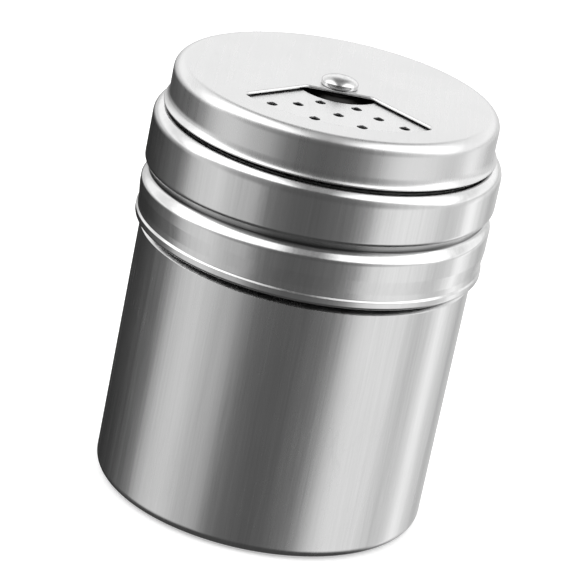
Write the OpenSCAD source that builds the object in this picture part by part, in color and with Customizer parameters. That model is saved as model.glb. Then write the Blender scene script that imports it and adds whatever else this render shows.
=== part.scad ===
// Spice shaker in sheet steel: a drawn jar, a screw-on lid with a perforated plate, and a dial
// that turns on a rivet so that its window uncovers small holes, large holes, a pouring mouth
// or nothing. Millimetres. The origin is the centre of the ring that the jar stands on, +Z is
// up, and the window faces -Y.

/* [Overall] */
// Height from the table to the top of the dial's disc
total_h = 87.1; // [78:0.1:110]
// Outer diameter of the jar's wall
jar_d = 67; // [55:0.5:82]
// Height of the lid's lower edge below the top of the dial's disc
lid_h = 32.7; // [30:0.1:40]

/* [Jar] */
// Thickness of the jar's sheet
jar_sheet = 0.45; // [0.35:0.05:0.6]
// Radius of the jar's lower corner
foot_round = 2.2; // [1.5:0.1:4]
// Width of the ring that the jar stands on
foot_w = 3.2; // [2:0.1:6]
// Height of the pressed-in floor above the table
floor_rise = 0.8; // [0.4:0.1:2]
// How far the neck is set in from the jar's wall, which is also the height of its thread
neck_set = 1.2; // [0.9:0.05:1.5]
// How far below the lid's edge the jar's wall turns in to its neck
neck_drop = 1.6; // [1:0.1:3]
// Bend radius of the jar's shoulder, which is less where the neck is hardly set in
jar_shoulder = 0.6; // [0.5:0.1:3]
// Radius of the curled rim's section
rim_r = 0.6; // [0.5:0.05:0.9]

/* [Lid] */
// Thickness of the lid's sheet
lid_sheet = 0.5; // [0.4:0.05:0.6]
// Air between the jar's wall and the lid's wall
lid_air = 0.9; // [0.7:0.05:1.3]
// Radius of the lid's shoulder
shoulder_round = 2.4; // [2:0.1:3]
// Height of the folded hem at the lid's lower edge
hem_h = 2.2; // [1.5:0.1:3.5]
// Radius of the hem's lower corner on the outside
hem_round = 0.75; // [0.4:0.05:0.75]
// Height of the sealing ring
seal_h = 1.2; // [0.8:0.1:2]
// Width of the sealing ring
seal_w = 1.8; // [1.4:0.1:3]

/* [Thread] */
// Rise of the thread in one turn
pitch = 5.6; // [5:0.1:7]
// Length of the thread in turns
thread_turns = 1.25; // [1:0.05:1.5]
// Depth of the groove that is rolled into the lid
groove_depth = 1.4; // [1.2:0.05:1.5]
// Height of the groove above its deepest line
groove_up = 1.0; // [0.8:0.1:1.4]
// Height of the groove below its deepest line
groove_down = 2.3; // [1.5:0.1:2.6]
// How far the groove's deepest line lies below the top of the dial's disc, at the front
groove_drop = 21.4; // [20:0.1:24]
// Half the height of the jar's thread
ridge_half = 1.5; // [1.2:0.1:1.7]
// How far the jar's thread lies above the lid's groove
thread_lead = 2.0; // [1.8:0.1:2.4]
// Length over which a thread fades out, in degrees
fade = 25; // [15:1:40]

/* [Dial] */
// Thickness of the dial's sheet
dial_sheet = 0.5; // [0.4:0.05:0.6]
// How far the dial's wall is set in from the lid's wall
dial_set = 2.4; // [2:0.1:4]
// Height of the dial from its flared edge to its disc
dial_h = 8.4; // [8:0.1:12]
// Radius of the dial's upper corner
dial_round = 2.3; // [1.5:0.1:3]
// How far the dial's lower edge flares out
flare = 0.8; // [0.3:0.1:1.2]
// Height of the flared edge
flare_h = 1.9; // [1:0.1:2.5]
// Radius of the bend above the flared edge
flare_bend = 2.4; // [0.6:0.1:3]
// Air between the dial's wall and the lid's neck
dial_air = 0.3; // [0.25:0.05:0.5]

/* [Window] */
// Way that the window faces, in degrees from +X
window_angle = -86.6; // [-180:0.1:180]
// Half the angle between the window's sides
window_half = 45; // [35:1:55]
// How far each side lies outside the ray from the centre
window_side = 2.0; // [0:0.1:4]
// Distance of the window's straight back edge from the centre
window_back = 3.7; // [3.4:0.1:5]
// Metal left between the window and the start of the dial's upper corner
window_margin = 6.2; // [4:0.1:9]
// Radius of the window's corners
window_round = 1.5; // [0.5:0.1:2.4]
// Depth of the lip that is turned down around the window
lip_depth = 0.25; // [0.1:0.05:0.3]

/* [Plate] */
// Depth of the plate's face below the top of the dial's disc
plate_drop = 1.0; // [0.95:0.05:1.5]
// Radius of the pressed recess around the rivet
recess_r = 8.2; // [7.6:0.1:9]
// Depth of the recess
recess_depth = 1.2; // [1:0.1:1.6]
// Radius of the boss in the middle of the recess
boss_r = 4.0; // [3.8:0.1:4.4]
// Depth of the boss's face below the plate's face
boss_drop = 0.4; // [0.3:0.05:0.6]
// Diameter of the small holes
hole_d = 2.1; // [1.2:0.1:3]
// Radius of the innermost ring of small holes
first_ring = 10.8; // [10.5:0.1:12]
// Distance between the rings of small holes
ring_step = 5.1; // [4.5:0.1:6]
// Distance between neighbours along the innermost ring
hole_gap = 7.2; // [5:0.1:8]
// How much more that distance is on each further ring
hole_gap_step = 1.03; // [0.5:0.01:1.2]
// Diameter of the large holes
large_d = 4.6; // [3:0.1:5]
// Angle between neighbouring large holes on the outer ring
large_step = 28; // [24:1:32]
// Distance of the pouring mouth's straight edge from the centre
mouth_near = 9.6; // [9.4:0.1:12]
// How far the pouring mouth ends short of the window's outer edge
mouth_far = 1.6; // [1:0.1:3]
// Half the angle between the pouring mouth's sides
mouth_half = 36; // [20:1:40]
// Radius of the pouring mouth's corners
mouth_round = 2.0; // [1:0.1:2.4]

/* [Rivet] */
// Radius of the rivet's shank
shank_r = 1.5; // [1.2:0.1:1.6]
// Radius of the rivet's head
head_r = 3.7; // [3:0.1:4.2]
// Height of the head's straight edge
head_edge = 0.7; // [0.4:0.1:1]
// Height of the head's dome above that edge
head_dome = 1.2; // [0.8:0.1:1.6]
// Radius of the rivet's spread tail
tail_r = 2.6; // [2.2:0.1:3]
// Height of the rivet's tail
tail_h = 0.9; // [0.6:0.1:1.4]
// Outer radius of the backing washer
backing_r = 3.4; // [3:0.1:3.6]
// Thickness of the backing washer
backing_t = 0.6; // [0.4:0.1:0.8]
// Outer radius of the spring washer
spring_r = 3.0; // [2.6:0.1:3.1]
// Thickness of the spring washer
spring_t = 0.3; // [0.2:0.05:0.4]

/* [Hidden] */
$fn = 128;

arc_steps = 6;          // straight steps in each bend of a profile
thread_steps = 60;      // rings in one turn of the thread
bump_steps = 6;         // steps across a thread's bump
front_steps = 16;       // straight steps along the front of the window and the pouring mouth
face_air = 0.05;        // air between flat faces that turn or rest on each other
shank_air = 0.05;       // air around the shank in the dial
seat_air = 0.02;        // air around the shank in the pieces that it holds
edge_air = 0.8;         // air between the dial's lower edge and the lid's shoulder
bend = 0.6;             // bend radius on the outer face of small bends
root_bend = 1.0;        // bend radius at the foot of the jar's neck
hem_bend = 0.2;         // radius of the hem's lower corner on the inside
flange_w = 2.4;         // width of the flange that the plate lies on
plate_air = 1.1;        // the plate's edge inside the lid's neck
hem_t = 2 * lid_sheet;  // thickness of the folded hem

jar_r = jar_d / 2;
neck_r = jar_r - neck_set;
lid_r = jar_r + lid_air + lid_sheet;
lid_low = total_h - lid_h;
dial_r = lid_r - dial_set;
dial_low = total_h - dial_h;
shoulder_z = dial_low - edge_air;
seal_top = shoulder_z - lid_sheet - face_air;
rim_z = seal_top - seal_h - face_air;
seat_r = dial_r - dial_sheet - dial_air;

plate_z = total_h - plate_drop;
plate_r = seat_r - plate_air;
boss_z = plate_z - boss_drop;
disc_low = total_h - dial_sheet;
lip_low = disc_low - lip_depth;
window_r = dial_r - dial_round - window_margin;
outer_ring = window_r - large_d / 2 - 1.2;
ring_count = floor((window_r - hole_d - first_ring) / ring_step) + 1;

groove_z = total_h - groove_drop;
front = -90;            // angle of the object's front

// ---- profiles of bent sheet -------------------------------------------------------------

function unit(a, b) = (b - a) / norm(b - a);
function left(a, b) = [-unit(a, b)[1], unit(a, b)[0]];
function point(p) = [p[0], p[1]];

// Corner i of a path of [x, y, bend radius], moved by t to the path's left
function shifted(path, i, t) =
    let (
        here = point(path[i]),
        n1 = i > 0 ? left(point(path[i - 1]), here) : left(here, point(path[i + 1])),
        n2 = i < len(path) - 1 ? left(here, point(path[i + 1])) : n1,
        side = sign(cross(n1, n2)),
        moved = here + t * (n1 + n2) / (1 + n1 * n2)
    )
    [moved[0], moved[1], path[i][2] > 0 ? max(path[i][2] - side * t, 0.05) : 0];

// A path's points, with each corner rounded by its bend radius
function rounded(path) = [
    for (i = [0 : len(path) - 1])
        let (here = point(path[i]), r = path[i][2])
        for (p = (r > 0 && i > 0 && i < len(path) - 1)
                 ? corner_arc(point(path[i - 1]), here, point(path[i + 1]), r)
                 : [here]) p
];

function corner_arc(before, here, after, r) =
    let (
        a = unit(here, before),
        c = unit(here, after),
        half = acos(a * c) / 2,
        centre = here + (a + c) / norm(a + c) * r / sin(half),
        from = here + a * r / tan(half) - centre,
        to = here + c * r / tan(half) - centre,
        span = 180 - 2 * half
    )
    [for (k = [0 : arc_steps])
        centre + (sin(span * (1 - k / arc_steps)) * from + sin(span * k / arc_steps) * to) / sin(span)];

function reversed(list) = [for (i = [len(list) - 1 : -1 : 0]) list[i]];

// Sheet of thickness t that lies to the left of a path
module sheet(path, t) {
    inner = [for (i = [0 : len(path) - 1]) shifted(path, i, t)];
    polygon(concat(rounded(path), reversed(rounded(inner))));
}

// Outline of a sector that faces +X: its sides lie half degrees to each side and a distance off
// outside the rays from the centre, its back edge is straight at near, and its front is at far
function sector_outline(near, far, half, off, round) =
    let (
        along = sqrt(far * far - off * off),
        x = along * cos(half) - off * sin(half),
        y = along * sin(half) + off * cos(half),
        back = (off + near * sin(half)) / cos(half),
        reach = atan2(y, x) - asin(1.5 * round / far)
    )
    rounded(concat(
        [[near, 0, 0], [near, -back, round], [x, -y, round]],
        [for (k = [0 : front_steps])
            let (a = reach * (2 * k / front_steps - 1)) [far * cos(a), far * sin(a), 0]],
        [[x, y, round], [near, back, round]]
    ));

// Outline of the window, grown by g on every side
function window_outline(g) =
    sector_outline(window_back - g, window_r + g, window_half, window_side + g, window_round + g);

// A flat ring or disc with square edges
module washer(outer, inner, low, height) {
    translate([0, 0, low]) difference() {
        cylinder(r = outer, h = height);
        translate([0, 0, -1]) cylinder(r = inner, h = height + 2);
    }
}

// ---- helical thread ---------------------------------------------------------------------

// Height of a bump at u, which runs from -1 at one edge to 1 at the other
function bump(u) = (1 + cos(180 * u)) / 2;

// Share of full height at angle a of a thread that fades at both ends
function fading(a, whole) =
    let (t = min(1, min(a, whole - a) / fade))
    t * t * (3 - 2 * t);

// A bump that winds around +Z. It leaves radius root and reaches out by tall (inwards where tall
// is negative), from down below its crest line to up above it. Its back lies at radius back, and
// its ends sink to just inside root, so that they vanish in the wall.
module thread(root, tall, up, down, back, z) {
    whole = 360 * thread_turns;
    rings = ceil(thread_steps * thread_turns);
    side = sign(tall);
    sunk = 0.12;
    section = [for (k = [0 : bump_steps]) -1 + 2 * k / bump_steps];
    count = len(section) + 2;
    points = [
        for (i = [0 : rings])
            let (
                a = whole * i / rings,
                share = fading(a, whole),
                turn = front - whole / 2 + a,
                middle = z + pitch * (a - whole / 2) / 360
            )
            for (p = concat(
                    [[back, middle - down]],
                    [for (u = section)
                        [root - side * sunk + share * (tall + side * sunk) * bump(u),
                         middle + (u < 0 ? u * down : u * up)]],
                    [[back, middle + up]]))
                [p[0] * cos(turn), p[0] * sin(turn), p[1]]
    ];
    sides = [
        for (i = [0 : rings - 1])
            for (k = [0 : count - 1])
                let (n = (k + 1) % count, b = i * count, t = b + count)
                for (f = [[b + k, b + n, t + n], [b + k, t + n, t + k]])
                    side > 0 ? f : reversed(f)
    ];
    first = [for (k = [0 : count - 1]) k];
    last = [for (k = [0 : count - 1]) rings * count + k];
    caps = side > 0 ? [reversed(first), last] : [first, reversed(last)];
    polyhedron(points = points, faces = concat(sides, caps), convexity = 10);
}

// ---- jar --------------------------------------------------------------------------------

// One drawn piece: pressed floor, foot ring, wall, set-in neck with a rolled thread, curled rim
module jar_body() {
    foot_in = jar_r - foot_round - foot_w;
    shelf = lid_low - neck_drop;
    slant = neck_set * sqrt(2);
    shoulder = min(jar_shoulder, slant / tan(22.5) - root_bend - 0.05);
    wall = [
        [0, floor_rise, 0],
        [foot_in - 2 * floor_rise, floor_rise, bend],
        [foot_in, 0, bend],
        [jar_r, 0, foot_round],
        [jar_r, shelf, shoulder],
        [neck_r, shelf + neck_set, root_bend],
        [neck_r, rim_z - rim_r, 0],
    ];
    ridge_z = groove_z + thread_lead;
    hollow = jar_sheet;
    color("#b9bbbd") difference() {
        union() {
            rotate_extrude() {
                sheet(wall, jar_sheet);
                translate([neck_r - rim_r, rim_z - rim_r]) circle(r = rim_r, $fn = 32);
            }
            thread(neck_r, neck_set, ridge_half, ridge_half, neck_r - jar_sheet / 2, ridge_z);
        }
        thread(neck_r - jar_sheet, neck_set, ridge_half - hollow, ridge_half - hollow,
               neck_r - jar_sheet - 1, ridge_z);
    }
}

// ---- lid --------------------------------------------------------------------------------

// One drawn piece: hemmed wall with a rolled groove, round shoulder, neck under the dial, flange
module lid_shell() {
    wall = [
        [lid_r, lid_low + hem_h / 2, 0],
        [lid_r, shoulder_z, shoulder_round],
        [seat_r, shoulder_z, bend],
        [seat_r, plate_z - lid_sheet, 2 * bend],
        [seat_r - flange_w, plate_z - lid_sheet, 0],
    ];
    hem = [
        [lid_r, lid_low + hem_h, 0],
        [lid_r - hem_t, lid_low + hem_h, 0],
        [lid_r - hem_t, lid_low, hem_bend],
        [lid_r, lid_low, hem_round],
        [lid_r, lid_low + hem_h, 0],
    ];
    color("#c6c8ca") difference() {
        union() {
            rotate_extrude() {
                sheet(wall, lid_sheet);
                polygon(rounded(hem));
            }
            thread(lid_r - lid_sheet, -groove_depth, groove_up + lid_sheet, groove_down + lid_sheet,
                   lid_r - lid_sheet / 2, groove_z);
        }
        thread(lid_r, -groove_depth, groove_up, groove_down, lid_r + 1, groove_z);
    }
}

// Soft ring between the jar's rim and the underside of the lid's shoulder
module sealing_ring() {
    outer = neck_r + 0.4;
    edge = 0.3;
    ring = [
        [outer - seal_w / 2, seal_top - seal_h, 0],
        [outer, seal_top - seal_h, edge],
        [outer, seal_top, edge],
        [outer - seal_w, seal_top, edge],
        [outer - seal_w, seal_top - seal_h, edge],
        [outer - seal_w / 2 - 0.01, seal_top - seal_h, 0],
    ];
    color("#e8e8e4") rotate_extrude() polygon(rounded(ring));
}

// ---- plate ------------------------------------------------------------------------------

// Turns its children so that their +X faces quarter turn q from the window
module quarter(q) {
    rotate([0, 0, window_angle + 90 * q]) children();
}

// Upright cutter of diameter d at radius r and angle a
module drill(d, r, a) {
    rotate([0, 0, a]) translate([r, 0, plate_z - recess_depth - 2]) cylinder(d = d, h = 6, $fn = 32);
}

// Rings of 2, 3, 4 ... small holes
module small_holes() {
    for (i = [0 : ring_count - 1]) {
        r = first_ring + i * ring_step;
        step = (hole_gap + i * hole_gap_step) / r * 180 / PI;
        for (k = [0 : i + 1]) drill(hole_d, r, (k - (i + 1) / 2) * step);
    }
}

// Three large holes on the outer ring and two between them further in
module large_holes() {
    for (k = [-1 : 1]) drill(large_d, outer_ring, k * large_step);
    for (k = [-0.5, 0.5]) drill(large_d, outer_ring - large_d - 1.6, k * large_step * 1.2);
}

// Wide opening for pouring, in the shape of the window but smaller
module pouring_mouth() {
    translate([0, 0, plate_z - recess_depth - 2]) linear_extrude(6)
        polygon(sector_outline(mouth_near, window_r - mouth_far, mouth_half, 0, mouth_round));
}

// Perforated disc that lies on the lid's flange, pressed down around the rivet
module sifter_plate() {
    slope = recess_depth;
    floor_z = plate_z - recess_depth;
    face = [
        [plate_r, plate_z, 0],
        [recess_r, plate_z, bend],
        [recess_r - slope, floor_z, bend],
        [boss_r + recess_depth - boss_drop, floor_z, bend],
        [boss_r, boss_z, bend],
        [shank_r + seat_air, boss_z, 0],
    ];
    color("#cfd1d3") difference() {
        rotate_extrude() sheet(face, lid_sheet);
        quarter(0) small_holes();
        quarter(1) large_holes();
        quarter(2) pouring_mouth();
    }
}

// ---- dial -------------------------------------------------------------------------------

// Flared cap with a window; the window's lip is turned down towards the plate
module dial_cap() {
    wall = [
        [dial_r + flare, dial_low, 0],
        [dial_r, dial_low + flare_h, flare_bend],
        [dial_r, total_h, dial_round],
        [shank_r + shank_air, total_h, 0],
    ];
    color("#d9dbdc") difference() {
        union() {
            rotate_extrude() sheet(wall, dial_sheet);
            quarter(0) translate([0, 0, lip_low])
                linear_extrude(lip_depth + dial_sheet / 2) polygon(window_outline(dial_sheet));
        }
        quarter(0) translate([0, 0, lip_low - 1])
            linear_extrude(dial_sheet + lip_depth + 2) polygon(window_outline(0));
    }
}

// ---- rivet and washers ------------------------------------------------------------------

// Coned washer that presses the dial up against the rivet's head
module spring_washer() {
    inner = shank_r + 0.15;
    top = disc_low - face_air;
    color("#9a9c9e") rotate_extrude() polygon([
        [spring_r, boss_z],
        [spring_r, boss_z + spring_t],
        [inner, top],
        [inner, top - spring_t],
    ]);
}

// Flat washer between the boss and the rivet's tail
module backing_washer() {
    color("#a6a8aa")
        washer(backing_r, shank_r + seat_air, boss_z - lid_sheet - backing_t, backing_t);
}

// Round-headed rivet: it is fixed to the plate, and the dial turns on its shank
module pivot_rivet() {
    seat = total_h + face_air;
    tail_top = boss_z - lid_sheet - backing_t;
    steps = 8;
    dome = [for (k = [0 : steps]) let (a = 90 * k / steps)
        [head_r * cos(a), seat + head_edge + head_dome * sin(a)]];
    color("#e2e3e4") rotate_extrude() polygon(concat(
        [[0, tail_top - tail_h], [tail_r, tail_top - tail_h], [tail_r, tail_top],
         [shank_r, tail_top], [shank_r, seat], [head_r, seat]],
        dome
    ));
}

jar_body();
lid_shell();
sealing_ring();
sifter_plate();
dial_cap();
spring_washer();
backing_washer();
pivot_rivet();
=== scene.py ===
import math

import bmesh
import bpy
from mathutils import Matrix, Vector


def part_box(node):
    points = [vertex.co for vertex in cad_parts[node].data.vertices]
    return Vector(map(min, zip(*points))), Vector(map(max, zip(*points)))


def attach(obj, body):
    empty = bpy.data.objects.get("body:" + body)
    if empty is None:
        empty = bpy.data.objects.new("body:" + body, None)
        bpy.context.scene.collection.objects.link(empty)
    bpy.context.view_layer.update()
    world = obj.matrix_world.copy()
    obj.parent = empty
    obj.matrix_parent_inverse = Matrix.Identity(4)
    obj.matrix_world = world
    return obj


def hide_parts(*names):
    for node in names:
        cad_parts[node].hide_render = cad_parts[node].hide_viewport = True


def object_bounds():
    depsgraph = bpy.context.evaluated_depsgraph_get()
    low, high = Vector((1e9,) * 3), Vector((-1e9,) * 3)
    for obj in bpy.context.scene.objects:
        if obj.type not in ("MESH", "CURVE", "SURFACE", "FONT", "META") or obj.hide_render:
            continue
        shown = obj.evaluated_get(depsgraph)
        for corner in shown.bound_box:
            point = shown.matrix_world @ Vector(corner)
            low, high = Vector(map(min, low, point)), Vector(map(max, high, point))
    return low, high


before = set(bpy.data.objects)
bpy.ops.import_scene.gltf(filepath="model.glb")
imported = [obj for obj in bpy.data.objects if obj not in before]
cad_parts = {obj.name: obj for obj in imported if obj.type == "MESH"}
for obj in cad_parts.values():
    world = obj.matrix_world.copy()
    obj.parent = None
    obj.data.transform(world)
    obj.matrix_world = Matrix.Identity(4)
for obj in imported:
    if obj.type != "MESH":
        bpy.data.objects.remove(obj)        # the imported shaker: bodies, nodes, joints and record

scene = bpy.context.scene
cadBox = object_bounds()
mm = 0.001               # pieces are modelled in millimetres and scaled at the end
print("frame loaded:", ", ".join(sorted(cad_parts)))


def nodeSize(node):      # largest radius, lowest and highest point of a turned node, in mm
    low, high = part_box(node)
    return high.x / mm, low.z / mm, high.z / mm


jarRadius, jarLow, jarHigh = nodeSize("jar_body")
lidRadius, lidLow, lidHigh = nodeSize("lid_shell")
dialRadius, dialLow, dialHigh = nodeSize("dial_cap")
plateRadius, _, plateHigh = nodeSize("sifter_plate")
sealRadius, sealLow, sealHigh = nodeSize("sealing_ring")
springRadius, springLow, springHigh = nodeSize("spring_washer")
backingRadius, backingLow, backingHigh = nodeSize("backing_washer")
rivetRadius, rivetLow, rivetHigh = nodeSize("pivot_rivet")


# camera

view = {
    "elevation": 21.24,                     # degrees above the floor
    "roll": 11.72,                          # the camera leans, so the shaker leans in the frame
    "distance": 0.6416,
    "aimOffset": (-0.0018, 0.0, -0.0012),   # from the middle of the shaker's box
    "lens": 200.175,
    "sensor": 36.0,
}


def makeCamera():
    data = bpy.data.cameras.new("camera")
    data.lens = view["lens"]
    data.sensor_width = view["sensor"]
    data.clip_start = 0.05
    data.dof.use_dof = False
    camera = bpy.data.objects.new("camera", data)
    scene.collection.objects.link(camera)
    tilt = Matrix.Rotation(math.radians(90 - view["elevation"]), 4, "X")
    lean = Matrix.Rotation(math.radians(view["roll"]), 4, "Z")
    aim = (Vector(cadBox[0]) + Vector(cadBox[1])) / 2 + Vector(view["aimOffset"])
    turned = tilt @ lean
    camera.matrix_world = Matrix.Translation(aim + turned.col[2].xyz * view["distance"]) @ turned
    scene.camera = camera


makeCamera()
print("camera placed")


# studio: panels and flags around the shaker, drawn by direction in the world

studio = {
    # brightness by the angle from the front towards +X: at shelf level, and from the horizon up
    "shelf": [
        (-180, 0.40), (-172, 0.03), (-150, 0.03), (-132, 0.05), (-112, 0.13), (-99, 0.19),
        (-91, 0.62), (-80, 0.86), (-64, 0.88), (-54, 0.64), (-38, 0.58), (-31, 0.22), (-14, 0.13),
        (2, 0.12), (22, 0.18), (34, 0.32), (45, 0.98), (60, 1.12), (80, 1.02), (93, 0.76),
        (104, 0.74), (113, 1.10), (120, 1.50), (127, 1.00), (140, 0.72), (150, 0.52), (162, 0.74),
        (176, 0.62), (180, 0.40),
    ],
    "upper": [
        (-180, 0.90), (-150, 0.95), (-125, 0.95), (-104, 0.62), (-86, 0.84), (-66, 0.72),
        (-52, 0.40), (-36, 0.30), (-20, 0.12), (0, 0.10), (20, 0.14), (34, 0.24), (48, 0.62),
        (66, 0.84), (88, 0.84), (118, 0.95), (150, 0.95), (180, 0.90),
    ],
    # brightness by the angle from the front over the top to the back: beside and in the middle
    "sides": [
        (42, 0.0), (56, 1.90), (112, 1.90), (132, 0.95), (142, 1.05), (150, 1.20), (157, 1.30),
        (166, 1.30), (174, 0.90), (180, 0.60),
    ],
    "middle": [
        (42, 0.0), (56, 0.30), (100, 0.34), (126, 0.30), (140, 0.30), (147, 0.60), (154, 1.28),
        (166, 1.30), (174, 0.90), (180, 0.60),
    ],
    "brightest": 2.0,        # ramps hold 0 to 1, so the lists are divided by this
    "horizon": (-0.30, 0.04),    # heights between which the shelf gives way to the upper walls
    "overhead": (42, 56),        # angles between which the walls give way to the ceiling
    "strip": (0.10, 0.30),       # the middle strip overhead fades out between these sideways
    "floor": (-0.80, -0.50),     # heights between which the dark floor gives way to the shelf
    "floorLevel": 0.07,
}


def addNode(tree, kind, inputs=None, **settings):
    node = tree.nodes.new("ShaderNode" + kind)
    for name, value in settings.items():
        setattr(node, name, value)
    for name, value in (inputs or {}).items():
        socket = node.inputs[name]
        if isinstance(value, bpy.types.NodeSocket):
            tree.links.new(value, socket)
        else:
            socket.default_value = value
    return node


def math2(tree, operation, a, b):
    return addNode(tree, "Math", {0: a, 1: b}, operation=operation).outputs[0]


def rampOf(tree, place, stops):          # grey by angle, -180 to 180 degrees along the ramp
    ramp = addNode(tree, "ValToRGB", {"Fac": place})
    band = ramp.color_ramp
    band.interpolation = "LINEAR"
    while len(band.elements) < len(stops):
        band.elements.new(0.5)
    for element, (angle, level) in zip(band.elements, stops):
        grey = level / studio["brightest"]
        element.position = angle / 360 + 0.5
        element.color = (grey, grey, grey, 1)
    return ramp.outputs["Color"]


def between(tree, value, limits):            # 0 at the first limit, 1 at the second
    return addNode(tree, "MapRange", {"Value": value, "From Min": limits[0], "From Max": limits[1]},
                   interpolation_type="SMOOTHSTEP").outputs[0]


def blend(tree, share, a, b):
    return addNode(tree, "Mix", {"Factor": share, "A": a, "B": b}).outputs["Result"]


def makeStudio():
    world = bpy.data.worlds.new("studio")
    scene.world = world
    world.use_nodes = True
    tree = world.node_tree
    tree.nodes.clear()
    way = addNode(tree, "TexCoord").outputs["Generated"]
    split = addNode(tree, "SeparateXYZ", {"Vector": way}).outputs

    turned = addNode(tree, "Mapping", {"Vector": way, "Rotation": (0, 0, math.radians(90))})
    around = addNode(tree, "TexGradient", {"Vector": turned.outputs[0]}, gradient_type="RADIAL")
    shelf = rampOf(tree, around.outputs["Fac"], studio["shelf"])
    upper = rampOf(tree, around.outputs["Fac"], studio["upper"])
    walls = blend(tree, between(tree, split["Z"], studio["horizon"]), shelf, upper)
    low = blend(tree, between(tree, split["Z"], studio["floor"]),
                studio["floorLevel"] / studio["brightest"], walls)

    back = math2(tree, "MULTIPLY", split["Y"], -1.0)
    over = addNode(tree, "CombineXYZ", {"X": back, "Y": split["Z"]}).outputs[0]
    above = addNode(tree, "TexGradient", {"Vector": over}, gradient_type="RADIAL").outputs["Fac"]
    aside = between(tree, math2(tree, "ABSOLUTE", split["X"], 0.0), studio["strip"])
    middle = rampOf(tree, above, studio["middle"])
    ceiling = blend(tree, aside, middle, rampOf(tree, above, studio["sides"]))

    start, end = [angle / 360 + 0.5 for angle in studio["overhead"]]
    whole = blend(tree, between(tree, above, (start, end)), low, ceiling)
    level = math2(tree, "MULTIPLY", whole, studio["brightest"])

    seen = addNode(tree, "LightPath").outputs["Is Camera Ray"]
    panels = addNode(tree, "Background", {"Color": level, "Strength": 1.0})
    paper = addNode(tree, "Background", {"Color": (1, 1, 1, 1), "Strength": 1.0})
    both = addNode(tree, "MixShader", {0: seen, 1: panels.outputs[0], 2: paper.outputs[0]})
    addNode(tree, "OutputWorld", {"Surface": both.outputs[0]})
    scene.view_settings.view_transform = "Standard"


floorPaper = {"half": 3.0, "paper": (0.96, 0.96, 0.96, 1), "glow": 0.35, "rough": 0.9, "under": 0.02}


def makeFloor():
    bm = bmesh.new()
    bmesh.ops.create_grid(bm, x_segments=1, y_segments=1, size=floorPaper["half"])
    mesh = bpy.data.meshes.new("floor")
    bm.to_mesh(mesh)
    bm.free()
    floor = bpy.data.objects.new("floor", mesh)
    scene.collection.objects.link(floor)
    floor.location.z = (jarLow - floorPaper["under"]) * mm
    floor.visible_glossy = False             # the steel mirrors the studio, not the paper
    floor.visible_shadow = False
    material = bpy.data.materials.new("floorPaper")
    material.use_nodes = True
    tree = material.node_tree
    tree.nodes.clear()
    paper = addNode(tree, "BsdfPrincipled", {
        "Base Color": floorPaper["paper"], "Roughness": floorPaper["rough"], "Specular IOR Level": 0.0,
        "Emission Color": floorPaper["paper"], "Emission Strength": floorPaper["glow"],
    })
    clear = addNode(tree, "BsdfTransparent")
    under = addNode(tree, "NewGeometry").outputs["Backfacing"]
    oneSided = addNode(tree, "MixShader", {0: under, 1: paper.outputs[0], 2: clear.outputs[0]})
    addNode(tree, "OutputMaterial", {"Surface": oneSided.outputs[0]})
    mesh.materials.append(material)


makeStudio()
makeFloor()
print("studio made")


# effects that several steels share

def newGroup(name, inputs, outputs):
    group = bpy.data.node_groups.new(name, "ShaderNodeTree")
    for label, kind, value in inputs:
        socket = group.interface.new_socket(label, in_out="INPUT", socket_type="NodeSocket" + kind)
        socket.default_value = value
    for label in outputs:
        group.interface.new_socket(label, in_out="OUTPUT", socket_type="NodeSocketFloat")
    entry = group.nodes.new("NodeGroupInput").outputs
    leave = group.nodes.new("NodeGroupOutput").inputs
    return group, entry, leave


def makeDrawnGrain():    # fine and broad streaks along the way that the sheet was brushed and drawn
    group, entry, leave = newGroup(
        "drawnGrain",
        [("Fine", "Vector", (2600, 2600, 60)), ("Broad", "Vector", (620, 620, 9)),
         ("Blotch", "Float", 420.0)],
        ["Streaks", "Bands", "Mottle"])
    place = addNode(group, "TexCoord").outputs["Object"]
    for source, label, limits in (("Fine", "Streaks", (0.32, 0.68)), ("Broad", "Bands", (0.36, 0.64))):
        drawn = addNode(group, "VectorMath", {0: place, 1: entry[source]}, operation="MULTIPLY")
        noise = addNode(group, "TexNoise", {"Vector": drawn.outputs[0], "Scale": 1.0, "Detail": 4.0,
                                            "Roughness": 0.62})
        spread = addNode(group, "MapRange", {"Value": noise.outputs["Fac"], "From Min": limits[0],
                                             "From Max": limits[1]})
        group.links.new(spread.outputs[0], leave[label])
    mottle = addNode(group, "TexNoise", {"Vector": place, "Scale": entry["Blotch"], "Detail": 3.0,
                                         "Roughness": 0.55})
    group.links.new(mottle.outputs["Fac"], leave["Mottle"])
    return group


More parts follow.
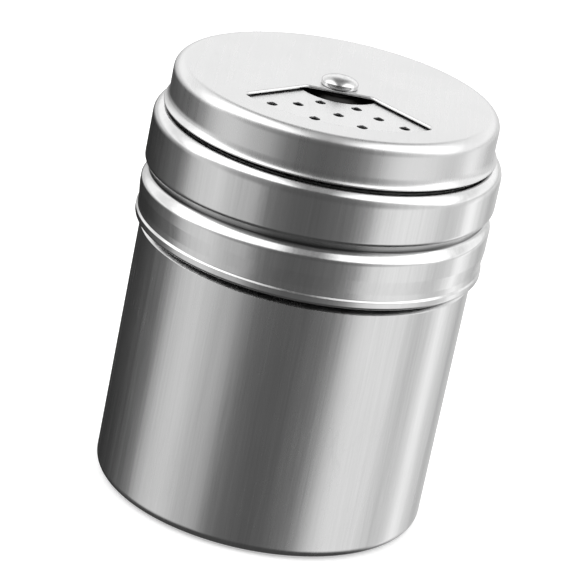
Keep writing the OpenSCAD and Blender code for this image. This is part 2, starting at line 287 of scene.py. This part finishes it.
def makeHandling():      # broad hazy patches and thin hairline scratches from use
    group, entry, leave = newGroup(
        "handling",
        [("Patch", "Float", 38.0), ("Hairlines", "Float", 420.0), ("Lay", "Vector", (1.0, 1.0, 0.02))],
        ["Haze", "Scratches"])
    place = addNode(group, "TexCoord").outputs["Object"]
    haze = addNode(group, "TexNoise", {"Vector": place, "Scale": entry["Patch"], "Detail": 5.0,
                                       "Roughness": 0.6, "Distortion": 0.4})
    soft = addNode(group, "MapRange", {"Value": haze.outputs["Fac"], "From Min": 0.35, "From Max": 0.7},
                   interpolation_type="SMOOTHSTEP")
    group.links.new(soft.outputs[0], leave["Haze"])
    lines = 0.0
    for lean in (-7, 4, 11):                 # hairlines lean a little off the brushing
        turn = (math.radians(lean), math.radians(lean * 0.8), 0)
        tilted = addNode(group, "Mapping", {"Vector": place, "Rotation": turn})
        drawn = addNode(group, "VectorMath", {0: tilted.outputs[0], 1: entry["Lay"]}, operation="MULTIPLY")
        noise = addNode(group, "TexNoise", {"Vector": drawn.outputs[0], "Scale": entry["Hairlines"],
                                            "Detail": 0.0})
        away = math2(group, "ABSOLUTE", math2(group, "SUBTRACT", noise.outputs["Fac"], 0.5), 0.0)
        thin = addNode(group, "MapRange", {"Value": away, "From Min": 0.0, "From Max": 0.008,
                                           "To Min": 1.0, "To Max": 0.0})
        lines = math2(group, "MAXIMUM", lines, thin.outputs[0])
    rubbed = math2(group, "MULTIPLY", lines, soft.outputs[0])
    group.links.new(rubbed, leave["Scratches"])
    return group


def makeEdgeWear():      # rims and rolled corners rub brighter than the flat sheet
    group, entry, leave = newGroup("edgeWear", [("Amount", "Float", 12.0)], ["Worn"])
    point = addNode(group, "NewGeometry").outputs["Pointiness"]
    rise = math2(group, "MULTIPLY", math2(group, "SUBTRACT", point, 0.505), entry["Amount"])
    kept = addNode(group, "Clamp", {"Value": rise})
    group.links.new(kept.outputs[0], leave["Worn"])
    return group


drawnGrain, handling, edgeWear = makeDrawnGrain(), makeHandling(), makeEdgeWear()


def placeGroup(tree, group, values=None):
    node = addNode(tree, "Group", node_tree=group)
    for name, value in (values or {}).items():
        node.inputs[name].default_value = value
    return node.outputs


def makeRecessShade():       # painted shade: dark colour in the hollow around the axis, where the gap under the dial lies in shadow
    group, entry, leave = newGroup("recessShade", [("Inner", "Float", 0.0070), ("Outer", "Float", 0.0084)],
                                   ["Share"])
    place = addNode(group, "TexCoord").outputs["Object"]
    flat = addNode(group, "VectorMath", {0: place, 1: (1, 1, 0)}, operation="MULTIPLY")
    away = addNode(group, "VectorMath", {0: flat.outputs[0]}, operation="LENGTH").outputs["Value"]
    ragged = addNode(group, "TexNoise", {"Vector": place, "Scale": 900.0, "Detail": 4.0}).outputs["Fac"]
    stray = math2(group, "MULTIPLY", math2(group, "SUBTRACT", ragged, 0.5), 0.0006)
    edge = math2(group, "ADD", away, stray)
    share = addNode(group, "MapRange", {"Value": edge, "From Min": entry["Inner"],
                                        "From Max": entry["Outer"], "To Min": 1.0, "To Max": 0.0},
                    interpolation_type="SMOOTHSTEP")
    group.links.new(share.outputs[0], leave["Share"])
    return group


recessShade = makeRecessShade()


def steel(name, look):
    material = bpy.data.materials.new(name)
    material.use_nodes = True
    tree = material.node_tree
    tree.nodes.clear()
    grain = placeGroup(tree, drawnGrain, {"Fine": look["fine"], "Broad": look["broad"],
                                          "Blotch": look["blotch"]})
    use = placeGroup(tree, handling, {"Patch": look["patch"], "Hairlines": look["hairlines"],
                                      "Lay": look["lay"]})
    worn = placeGroup(tree, edgeWear, {"Amount": look["wear"]})["Worn"]

    share = math2(tree, "MULTIPLY", math2(tree, "ADD", grain["Streaks"], grain["Bands"]), 0.5)
    tone = addNode(tree, "Mix", {"Factor": share, "A": look["dark"], "B": look["light"]},
                   data_type="RGBA")
    rubbed = addNode(tree, "Mix", {"Factor": worn, "A": tone.outputs["Result"], "B": look["rubbed"]},
                     data_type="RGBA")
    base = rubbed.outputs["Result"]
    low, high = look["roughness"]
    rough = addNode(tree, "MapRange", {"Value": share, "To Min": low, "To Max": high}).outputs[0]
    rough = math2(tree, "ADD", rough, math2(tree, "MULTIPLY", use["Haze"], look["haze"]))
    rough = math2(tree, "SUBTRACT", rough, math2(tree, "MULTIPLY", worn, look["polish"]))
    rough = math2(tree, "ADD", rough, math2(tree, "MULTIPLY", use["Scratches"], look["scratch"]))

    height = math2(tree, "ADD", math2(tree, "MULTIPLY", grain["Streaks"], look["streakDepth"]),
                   math2(tree, "MULTIPLY", grain["Mottle"], look["mottleDepth"]))
    cut = math2(tree, "MULTIPLY", use["Scratches"], look["scratchDepth"])
    height = math2(tree, "SUBTRACT", height, cut)
    bump = addNode(tree, "Bump", {"Height": height, "Strength": 1.0, "Distance": mm})

    metallic = 1.0
    # painted shade: near-black colour along the lid's thread groove, under its upper edge
    if "grime" in look:
        grooveShaded = addNode(tree, "Attribute", attribute_name="grime").outputs["Fac"]
        base = addNode(tree, "Mix", {"Factor": grooveShaded, "A": base, "B": look["grime"]},
                       data_type="RGBA").outputs["Result"]
    # painted shade in the plate's hollow around the axis and over the washers there: dark, rough and not
    # metal
    if "dust" in look:
        share = placeGroup(tree, recessShade)["Share"]
        base = addNode(tree, "Mix", {"Factor": share, "A": base, "B": look["dust"]},
                       data_type="RGBA").outputs["Result"]
        rough = math2(tree, "MAXIMUM", rough, math2(tree, "MULTIPLY", share, look["dustRough"]))
        metallic = math2(tree, "SUBTRACT", 1.0, share)
    shader = addNode(tree, "BsdfPrincipled", {"Base Color": base, "Metallic": metallic,
                                              "Roughness": rough, "Normal": bump.outputs[0]})
    addNode(tree, "OutputMaterial", {"Surface": shader.outputs[0]})
    return material


def grey(level):
    return (level, level, level, 1)


def look(shade, roughness, **changes):       # a steel's values; depths are in millimetres
    values = {
        "dark": grey(shade * 0.88), "light": grey(shade * 1.10), "rubbed": grey(shade * 1.15),
        "roughness": roughness,
        "fine": (2600, 2600, 60), "broad": (620, 620, 9), "lay": (1.0, 1.0, 0.02),
        "blotch": 420.0, "patch": 38.0, "hairlines": 420.0,
        "wear": 10.0, "haze": 0.03, "polish": 0.05, "scratch": 0.04,
        "streakDepth": 0.0003, "mottleDepth": 0.003, "scratchDepth": 0.0002, "dustRough": 0.7,
    }
    values.update(changes)
    return values


allOver = (900, 900, 900)        # grain that runs no particular way
acrossTop = {"lay": (1.0, 0.02, 0.02), "mottleDepth": 0.001, "wear": 0.0,
             "dark": grey(0.67), "light": grey(0.71)}
smallTurned = {"fine": allOver, "broad": allOver, "patch": 160.0}
materials = {
    "jar": steel("jarSteel", look(0.66, (0.18, 0.26), dark=grey(0.60), light=grey(0.71))),
    # the lid's near-black colour is painted shade in its thread groove
    "lid": steel("lidSteel", look(0.68, (0.15, 0.21), dark=grey(0.64), light=grey(0.72),
                                  mottleDepth=0.006, blotch=900.0, grime=grey(0.10))),
    "dial": steel("dialSteel", look(0.69, (0.24, 0.30), fine=(2600, 60, 60), broad=(900, 9, 9),
                                    **acrossTop)),
    # the plate's near-black colour is painted shade in its hollow around the axis
    "plate": steel("plateSteel", look(0.68, (0.22, 0.28), fine=(2600, 60, 60), broad=(620, 9, 9),
                                      dust=(0.012, 0.011, 0.010, 1), **acrossTop)),
    "rivet": steel("rivetSteel", look(0.66, (0.14, 0.20), **smallTurned)),
    # the washers' near-black colour is painted shade, since they sit in the plate's hollow
    "washer": steel("washerSteel", look(0.55, (0.28, 0.36), dust=(0.02, 0.019, 0.018, 1),
                                        **smallTurned)),
}

silicone = {
    # the seal's dusty patches are dust on the silicone, with no painted shade
    "pale": (0.82, 0.82, 0.78, 1), "dusty": (0.70, 0.69, 0.64, 1), "speck": 900.0, "dust": 60.0,
    "roughness": (0.42, 0.62), "bump": 0.4, "depth": 0.02, "scatter": 0.15,
}


def makeSilicone():
    material = bpy.data.materials.new("sealSilicone")
    material.use_nodes = True
    tree = material.node_tree
    tree.nodes.clear()
    use = placeGroup(tree, handling, {"Patch": silicone["dust"], "Hairlines": silicone["speck"]})
    grain = placeGroup(tree, drawnGrain, {"Fine": allOver, "Broad": allOver,
                                          "Blotch": silicone["speck"]})
    tone = addNode(tree, "Mix", {"Factor": use["Haze"], "A": silicone["pale"], "B": silicone["dusty"]},
                   data_type="RGBA")
    low, high = silicone["roughness"]
    rough = addNode(tree, "MapRange", {"Value": grain["Mottle"], "To Min": low, "To Max": high})
    bump = addNode(tree, "Bump", {"Height": grain["Mottle"], "Strength": silicone["bump"],
                                  "Distance": silicone["depth"] * mm})
    shader = addNode(tree, "BsdfPrincipled", {
        "Base Color": tone.outputs["Result"], "Roughness": rough.outputs[0], "IOR": 1.41,
        "Normal": bump.outputs[0], "Subsurface Weight": silicone["scatter"], "Subsurface Scale": mm,
    })
    addNode(tree, "OutputMaterial", {"Surface": shader.outputs[0]})
    return material


materials["seal"] = makeSilicone()
print("materials made")


# turning and pressing sheet

def roundCorner(bm, vert, bend, segments):   # vertex bevel; the bend radius gives the set-back
    a, b = [(edge.other_vert(vert).co - vert.co).normalized() for edge in vert.link_edges]
    turn = math.pi - a.angle(b)
    bmesh.ops.bevel(bm, geom=[vert], offset=bend * math.tan(turn / 2), offset_type="OFFSET",
                    affect="VERTICES", segments=segments, profile=0.5, material=-1)


def drawChain(bm, corners, closed=False, segments=8):   # corners are (radius, height, bend)
    verts = [bm.verts.new((radius, 0, height)) for radius, height, bend in corners]
    pairs = list(zip(verts, verts[1:])) + ([(verts[-1], verts[0])] if closed else [])
    for pair in pairs:
        bm.edges.new(pair)
    for vert, (radius, height, bend) in zip(verts, corners):
        if bend:
            roundCorner(bm, vert, bend, segments)


def splitLong(bm, edges, longest):           # adds points along straight stretches
    for edge in edges:
        cuts = math.ceil(edge.calc_length() / longest) - 1
        if cuts > 0:
            bmesh.ops.subdivide_edges(bm, edges=[edge], cuts=cuts)


def turnRound(bm, steps):
    bmesh.ops.spin(bm, geom=bm.verts[:] + bm.edges[:], cent=(0, 0, 0), axis=(0, 0, 1),
                   angle=2 * math.pi, steps=steps, use_merge=True)
    bmesh.ops.remove_doubles(bm, verts=bm.verts[:], dist=0.0005)
    bmesh.ops.recalc_face_normals(bm, faces=bm.faces[:])


# height over which the painted shade under the groove's upper edge fades out
dustLine = 0.2


def threadPush(vert, thread):                # how far a thread moves this point, and how much painted shade it gets under the groove's upper edge, 0 to 1
    turn = math.degrees(math.atan2(vert.co.y, vert.co.x)) - thread["front"]
    whole = 360 * thread["turns"]
    push = grime = 0.0
    for lap in (-1, 0, 1):
        along = turn + 360 * lap + whole / 2
        if 0 <= along <= whole:
            crest = thread["height"] + thread["pitch"] * (along - whole / 2) / 360
            rise = vert.co.z - crest
            share = rise / (thread["up"] if rise > 0 else thread["down"])
            if abs(share) < 1:
                fade = min(1, min(along, whole - along) / thread["fade"])
                fade = fade * fade * (3 - 2 * fade)
                bump = (1 + math.cos(math.pi * share)) / 2
                push = max(push, fade * bump)
                if rise > -dustLine:         # painted shade under the groove's upper edge, where the overhang shades the sheet
                    grime = max(grime, fade * min(1, rise / dustLine + 1) * bump * bump)
    return push, grime


def pressThread(bm, thread):
    # the layer holds where shade is painted under the groove's upper edge
    layer = bm.verts.layers.float.new("grime")
    for vert in bm.verts:
        radius = math.hypot(vert.co.x, vert.co.y)
        if abs(radius - thread["root"]) < 0.5:
            push, vert[layer] = threadPush(vert, thread)
            vert.co.x *= (radius + push * thread["depth"]) / radius
            vert.co.y *= (radius + push * thread["depth"]) / radius


def finishPiece(bm, name, material, body, node, sheet=None, soften=0.08):
    bm.transform(Matrix.Scale(mm, 4))
    mesh = bpy.data.meshes.new(name)
    bm.to_mesh(mesh)
    bm.free()
    for face in mesh.polygons:
        face.use_smooth = abs(face.normal.z) < 0.99999       # flat discs stay flat
    mesh.materials.append(material)
    piece = bpy.data.objects.new(name, mesh)
    scene.collection.objects.link(piece)
    if sheet:
        wall = piece.modifiers.new("sheet", "SOLIDIFY")
        wall.thickness = sheet * mm
        wall.offset = -1
        wall.use_even_offset = True
        wall.use_rim = True
    if soften:
        edge = piece.modifiers.new("softEdge", "BEVEL")
        edge.width = soften * mm
        edge.segments = 2
        edge.limit_method = "ANGLE"
        edge.angle_limit = math.radians(50)
    flat = piece.modifiers.new("flatFaces", "WEIGHTED_NORMAL")
    flat.keep_sharp = True
    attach(piece, body)
    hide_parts(node)
    print("made", name)
    return piece


# jar

jar = {
    "sheet": 0.45, "floorRise": 0.8, "footRound": 2.2, "footWide": 3.2, "footSlope": 1.6,
    "neckIn": 1.2, "shoulderDrop": 1.6, "shoulderBend": 0.1, "neckBend": 1.0, "smallBend": 0.6,
    "rim": 0.6, "steps": 256, "long": 5, "neckPoints": 0.25, "wallPoints": 4.0,
    "thread": {"front": -90, "turns": 1.25, "pitch": 5.6, "aboveGroove": 2.0, "up": 1.5, "down": 1.5,
               "depth": 1.2, "fade": 25},
}
grooveDrop = 21.4                            # from the dial's top to the groove's deepest line
grooveHeight = dialHigh - grooveDrop


def makeJar():
    neck = jarRadius - jar["neckIn"]
    footIn = jarRadius - jar["footRound"] - jar["footWide"]
    shelf = lidLow - jar["shoulderDrop"]
    rim = jar["rim"]
    curl = neck - 2 * rim
    bm = bmesh.new()
    drawChain(bm, [
        (0, jarLow + jar["floorRise"], 0),
        (footIn - jar["footSlope"], jarLow + jar["floorRise"], jar["smallBend"]),
        (footIn, jarLow, jar["smallBend"]),
        (jarRadius, jarLow, jar["footRound"]),
        (jarRadius, shelf, jar["shoulderBend"]),
        (neck, shelf + jar["neckIn"], jar["neckBend"]),
        (neck, jarHigh, rim),
        (curl, jarHigh, rim),
        (curl, jarHigh - 2 * rim, rim * 0.9),
        (curl + rim, jarHigh - 2 * rim, 0),
    ])
    straight = [e for e in bm.edges if e.calc_length() > jar["long"]]
    high = [e for e in straight if min(v.co.z for v in e.verts) > shelf + 1]
    splitLong(bm, high, jar["neckPoints"])
    splitLong(bm, [e for e in bm.edges if e.calc_length() > jar["long"]], jar["wallPoints"])
    turnRound(bm, jar["steps"])
    thread = dict(jar["thread"], root=neck, height=grooveHeight + jar["thread"]["aboveGroove"])
    pressThread(bm, thread)
    finishPiece(bm, "jarBody", materials["jar"], "jar", "jar_body", jar["sheet"])


# lid

lid = {
    "sheet": 0.5, "shoulderDrop": 0.8, "shoulderBend": 2.4, "neckBend": 0.6, "flangeBend": 1.2,
    "neckIn": 3.2, "flangeWide": 2.4, "hemHigh": 1.7, "hemRound": 0.75, "hemBend": 0.2,
    "hemProud": 0.3, "hemStep": (1.6, 0.2), "waistLow": (2.0, 0.25), "waistHigh": (3.2, 0.5),
    "bandLow": (6.0, 0.5), "steps": 256, "long": 2, "wallPoints": 0.22, "wallFrom": 4, "slack": 0.02,
    "thread": {"front": -90, "turns": 1.25, "pitch": 5.6, "up": 2.6, "down": 2.2, "depth": -1.3,
               "fade": 25, "lower": 0.3},
}


def overEdge(radius, place):                 # a corner, from its height over the lid's edge and its bend
    height, bend = place
    return radius, lidLow + height, bend


def makeLid():
    shoulder = dialLow - lid["shoulderDrop"]
    neck = lidRadius - lid["neckIn"]
    inner = lidRadius - 2 * lid["sheet"]
    wall = lidRadius - lid["hemProud"]
    bm = bmesh.new()
    drawChain(bm, [
        (inner, lidLow + lid["hemHigh"], 0),
        (inner, lidLow, lid["hemBend"]),
        (lidRadius, lidLow, lid["hemRound"]),
        overEdge(lidRadius, lid["hemStep"]),
        overEdge(wall, lid["waistLow"]),
        overEdge(wall, lid["waistHigh"]),
        overEdge(lidRadius, lid["bandLow"]),
        (lidRadius, shoulder, lid["shoulderBend"]),
        (neck, shoulder, lid["neckBend"]),
        (neck, lidHigh, lid["flangeBend"]),
        (neck - lid["flangeWide"], lidHigh, 0),
    ])
    walls = [e for e in bm.edges if min(v.co.z for v in e.verts) > lidLow + lid["wallFrom"]
             and max(v.co.z for v in e.verts) < shoulder - 1 and e.calc_length() > lid["long"]]
    splitLong(bm, walls, lid["wallPoints"])
    turnRound(bm, lid["steps"])
    lowered = grooveHeight - lid["thread"]["lower"]
    pressThread(bm, dict(lid["thread"], root=lidRadius, height=lowered))
    finishPiece(bm, "lidShell", materials["lid"], "lid", "lid_shell",
                lid["sheet"] - lid["slack"])


# dial and its window

dial = {
    "sheet": 0.46, "flare": 0.8, "flareHigh": 1.9, "flareBend": 2.2, "cornerBend": 2.3,
    "edge": (0.03, 0.2, 0.15), "belly": (0.3, 0.45), "flatRing": 0.6, "steps": 256, "hole": 1.55,
    "lip": {"reach": 0.4, "turn": 100, "steps": 8, "flat": 0.2},
}
window = {"faces": -86.6, "half": 45, "side": 2.0, "back": 3.7, "far": 24.3, "round": 1.5}


def sectorFace(bm, near, far, half, side, roundness, faces, height):     # a quarter with round corners
    half = math.radians(half)
    along = math.sqrt(far * far - side * side)
    x = along * math.cos(half) - side * math.sin(half)
    y = along * math.sin(half) + side * math.cos(half)
    back = (side + near * math.sin(half)) / math.cos(half)
    reach = math.atan2(y, x) - math.asin(1.5 * roundness / far)
    firstOfArc = bm.verts.new((far * math.cos(reach), -far * math.sin(reach), 0))
    arc = bmesh.ops.spin(bm, geom=[firstOfArc], cent=(0, 0, 0), axis=(0, 0, 1), angle=2 * reach,
                         steps=24)
    lastOfArc = arc["geom_last"][0]
    places = ((x, y, 0), (near, back, 0), (near, -back, 0), (x, -y, 0))
    corners = [bm.verts.new(place) for place in places]
    ring = [lastOfArc] + corners + [firstOfArc]
    for pair in zip(ring, ring[1:]):
        bm.edges.new(pair)
    for vert in corners:
        roundCorner(bm, vert, roundness, 8)
    outline = [edge for edge in bm.edges if edge.is_wire]
    face = bmesh.ops.contextual_create(bm, geom=outline)["faces"][0]
    if face.normal.z < 0:
        bmesh.ops.reverse_faces(bm, faces=[face])
    turned = Matrix.Rotation(math.radians(faces), 4, "Z")
    bmesh.ops.transform(bm, matrix=Matrix.Translation((0, 0, height)) @ turned, verts=face.verts[:])
    return face


def turnDown(bm, face, reach, turn, steps, flat):        # insets roll the face's edge downwards
    bmesh.ops.inset_region(bm, faces=[face], thickness=flat, depth=0, use_boundary=True,
                           use_even_offset=True)
    angles = [math.radians(turn) * step / steps for step in range(steps + 1)]
    for a, b in zip(angles, angles[1:]):
        bmesh.ops.inset_region(bm, faces=[face], thickness=reach * (math.sin(b) - math.sin(a)),
                               depth=-reach * (math.cos(a) - math.cos(b)), use_boundary=True,
                               use_even_offset=True)
    bmesh.ops.delete(bm, geom=[face], context="FACES_ONLY")


def rolledWidth(edge):                       # how far turnDown moves a hole's edge inwards
    return edge["reach"] * math.sin(math.radians(edge["turn"])) + edge["flat"]


def joinMesh(bm, other, name):
    part = bpy.data.meshes.new(name)
    other.to_mesh(part)
    other.free()
    bm.from_mesh(part)
    bpy.data.meshes.remove(part)


def fillFlat(bm, height, inner, outer):      # flat sheet between the open loops at this height
    loops = [edge for edge in bm.edges if len(edge.link_faces) < 2 and
             all(abs(v.co.z - height) < 0.001 and inner < v.co.xy.length < outer for v in edge.verts)]
    bmesh.ops.triangle_fill(bm, use_beauty=True, use_dissolve=False, edges=loops, normal=(0, 0, 1))
    bmesh.ops.recalc_face_normals(bm, faces=bm.faces[:])


def makeDial():
    wall = dialRadius - dial["flare"]
    edgeIn, edgeHigh, edgeBend = dial["edge"]
    bellyOut, bellyHigh = dial["belly"]
    grown = rolledWidth(dial["lip"])
    bm = bmesh.new()
    face = sectorFace(bm, window["back"] - grown, window["far"] + grown, window["half"],
                      window["side"] + grown, window["round"] + grown, window["faces"], dialHigh)
    turnDown(bm, face, **dial["lip"])
    shell = bmesh.new()
    drawChain(shell, [
        (dialRadius, dialLow, 0),
        (dialRadius - edgeIn, dialLow + edgeHigh, edgeBend),
        (wall + dial["flare"] * bellyOut, dialLow + dial["flareHigh"] * bellyHigh, dial["flareBend"]),
        (wall, dialLow + dial["flareHigh"], dial["flareBend"]),
        (wall, dialHigh, dial["cornerBend"]),
        (wall - dial["cornerBend"] - dial["flatRing"], dialHigh, 0),
    ], segments=12)
    splitLong(shell, [e for e in shell.edges if e.calc_length() > 2], 1.0)
    drawChain(shell, [(dial["hole"] + dial["flatRing"], dialHigh, 0), (dial["hole"], dialHigh, 0)])
    turnRound(shell, dial["steps"])
    joinMesh(bm, shell, "dialShell")
    fillFlat(bm, dialHigh, dial["hole"] + 0.1, wall)
    finishPiece(bm, "dialCap", materials["dial"], "dial", "dial_cap", dial["sheet"])


# perforated plate

plate = {
    "raised": 0.2, "sheet": 0.5, "recess": 8.2, "recessDeep": 1.2, "boss": 4.0, "bossDrop": 0.4,
    "bend": 0.6, "bossBend": 0.48, "flatRing": 0.6, "hole": 1.52, "steps": 128,
    "punched": {"reach": 0.08, "turn": 80, "steps": 3, "flat": 0.05},
    "small": {"across": 2.1, "first": 10.8, "ringStep": 5.1, "gap": 7.2, "gapStep": 1.03, "rings": 3},
    "large": {"across": 4.6, "outer": 20.5, "step": 28, "web": 1.6, "spread": 1.2},
    "mouth": {"near": 9.6, "far": 22.4, "half": 36, "round": 2.0},
}
plateTop = plateHigh + plate["raised"]


def smallHoles():        # rings of two, three and four, as (radius, angle, across)
    small = plate["small"]
    for ring in range(small["rings"]):
        radius = small["first"] + ring * small["ringStep"]
        step = math.degrees((small["gap"] + ring * small["gapStep"]) / radius)
        for hole in range(ring + 2):
            yield radius, (hole - (ring + 1) / 2) * step, small["across"]


def largeHoles():
    large = plate["large"]
    for k in (-1, 0, 1):
        yield large["outer"], k * large["step"], large["across"]
    for k in (-0.5, 0.5):
        inner = large["outer"] - large["across"] - large["web"]
        yield inner, k * large["step"] * large["spread"], large["across"]


def punch(bm, radius, angle, across):
    wide = across / 2 + rolledWidth(plate["punched"])
    turned = Matrix.Rotation(math.radians(angle), 4, "Z") @ Matrix.Translation((radius, 0, plateTop))
    disc = bmesh.ops.create_circle(bm, cap_ends=True, segments=32, radius=wide, matrix=turned)
    face = disc["verts"][0].link_faces[0]
    if face.normal.z < 0:
        bmesh.ops.reverse_faces(bm, faces=[face])
    turnDown(bm, face, **plate["punched"])


def makePlate():
    grown = rolledWidth(plate["punched"])
    mouth = plate["mouth"]
    bm = bmesh.new()
    face = sectorFace(bm, mouth["near"] - grown, mouth["far"] + grown, mouth["half"], grown,
                      mouth["round"] + grown, window["faces"] + 180, plateTop)
    turnDown(bm, face, **plate["punched"])
    for radius, angle, across in smallHoles():
        punch(bm, radius, window["faces"] + angle, across)
    for radius, angle, across in largeHoles():
        punch(bm, radius, window["faces"] + 90 + angle, across)
    floorHeight = plateHigh - plate["recessDeep"]
    bossHeight = plateHigh - plate["bossDrop"]
    foot = plate["boss"] + plate["recessDeep"] - plate["bossDrop"]
    shell = bmesh.new()
    drawChain(shell, [
        (plate["recess"] + plate["flatRing"], plateTop, 0),
        (plate["recess"], plateTop, plate["bend"]),
        (plate["recess"] - plate["recessDeep"], floorHeight, plate["bend"]),
        (foot, floorHeight, plate["bossBend"]),
        (plate["boss"], bossHeight, plate["bossBend"]),
        (plate["hole"], bossHeight, 0),
    ])
    drawChain(shell, [(plateRadius, plateTop, 0), (plateRadius - plate["flatRing"], plateTop, 0)])
    turnRound(shell, plate["steps"])
    joinMesh(bm, shell, "plateShell")
    fillFlat(bm, plateTop, 0, plateRadius - 0.1)
    finishPiece(bm, "sifterPlate", materials["plate"], "lid", "sifter_plate",
                plate["sheet"], soften=0.05)


# rivet, washers and sealing ring

rivet = {"tail": 2.6, "tailHigh": 0.9, "tailBend": 0.4, "tailTopBend": 0.1, "shank": 1.48,
         "headEdge": 0.7, "dome": 1.2, "edgeBend": 0.15, "steps": 128}


def makeRivet():
    seat = rivetHigh - rivet["dome"] - rivet["headEdge"]
    edge = rivetHigh - rivet["dome"]
    bm = bmesh.new()
    drawChain(bm, [
        (0, rivetLow, 0),
        (rivet["tail"], rivetLow, rivet["tailBend"]),
        (rivet["tail"], rivetLow + rivet["tailHigh"], rivet["tailTopBend"]),
        (rivet["shank"], rivetLow + rivet["tailHigh"], 0),
        (rivet["shank"], seat, 0),
        (rivetRadius, seat, rivet["edgeBend"]),
        (rivetRadius, edge, 0),
    ], segments=6)
    rim = max(bm.verts, key=lambda v: (round(v.co.z, 4), v.co.x))
    bmesh.ops.spin(bm, geom=[rim], cent=(0, 0, edge), axis=(0, -1, 0), angle=math.pi / 2, steps=14)
    dome = [v for v in bm.verts if v.co.z > edge + 0.001]
    bmesh.ops.scale(bm, vec=(1, 1, rivet["dome"] / rivetRadius), verts=dome,
                    space=Matrix.Translation((0, 0, -edge)))
    turnRound(bm, rivet["steps"])
    finishPiece(bm, "pivotRivet", materials["rivet"], "lid", "pivot_rivet", soften=0)


def makeTurned(name, corners, steps, material, body, node):
    bm = bmesh.new()
    drawChain(bm, corners, closed=True, segments=4)
    turnRound(bm, steps)
    finishPiece(bm, name, material, body, node, soften=0)


springWasher = {"sheet": 0.3, "hole": 1.65, "bend": 0.06, "steps": 96}
backingWasher = {"hole": 1.52, "outerBend": 0.12, "holeBend": 0.05, "steps": 96}


def makeWashers():
    sheet, hole, bend = springWasher["sheet"], springWasher["hole"], springWasher["bend"]
    makeTurned("springWasher", [
        (springRadius, springLow, bend),
        (springRadius, springLow + sheet, bend),
        (hole, springHigh, bend),
        (hole, springHigh - sheet, bend),
    ], springWasher["steps"], materials["washer"], "lid", "spring_washer")
    hole, bend, holeBend = backingWasher["hole"], backingWasher["outerBend"], backingWasher["holeBend"]
    makeTurned("backingWasher", [
        (backingRadius, backingLow, bend),
        (backingRadius, backingHigh, bend),
        (hole, backingHigh, holeBend),
        (hole, backingLow, holeBend),
    ], backingWasher["steps"], materials["washer"], "lid", "backing_washer")


seal = {"wide": 1.8, "bend": 0.28, "grooveHalf": 0.35, "grooveDeep": 0.15, "grooveBend": 0.1,
        "steps": 192}


def makeSeal():
    inner = sealRadius - seal["wide"]
    middle = sealRadius - seal["wide"] / 2
    half, bend, grooveBend = seal["grooveHalf"], seal["bend"], seal["grooveBend"]
    makeTurned("sealingRing", [
        (sealRadius, sealLow, bend),
        (sealRadius, sealHigh, bend),
        (inner, sealHigh, bend),
        (inner, sealLow, bend),
        (middle - half, sealLow, grooveBend),
        (middle, sealLow + seal["grooveDeep"], grooveBend),
        (middle + half, sealLow, grooveBend),
    ], seal["steps"], materials["seal"], "seal", "sealing_ring")


makeJar()
makeLid()
makeDial()
makePlate()
makeRivet()
makeWashers()
makeSeal()
